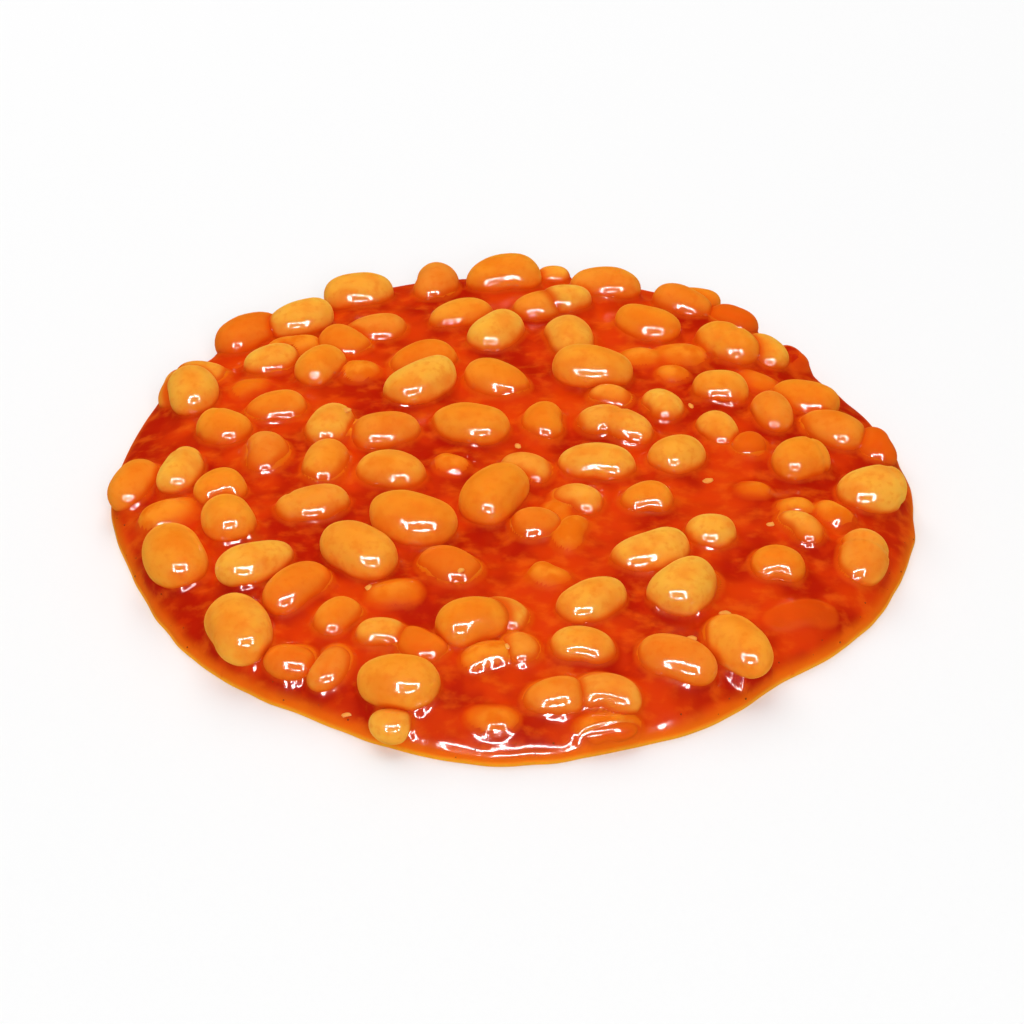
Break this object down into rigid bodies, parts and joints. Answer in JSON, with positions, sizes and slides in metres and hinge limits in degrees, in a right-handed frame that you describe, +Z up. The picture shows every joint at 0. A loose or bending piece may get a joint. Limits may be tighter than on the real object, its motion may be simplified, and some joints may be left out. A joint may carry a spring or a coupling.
{
  "type": "baked beans in tomato sauce",
  "caption": "Low round heap of plump oval beans half sunk in a pool of thick tomato sauce with an uneven edge and a flat underside.",
  "frame": {"origin": "middle of the heap's box at its underside, on the surface it lies on", "axes": "+Z up out of the heap, -Y towards the side with the broad bean-free band of sauce, +X to the right as seen from that side"},
  "size_m": [0.133, 0.132, 0.0144],
  "materials": {
    "sauce": "glossy, wet, slightly see-through tomato sauce",
    "bean": "smooth wet cooked bean skin"
  },
  "bodies": {
    "root": {"beans_in_sauce": "sauce"}
  },
  "joints": []
}
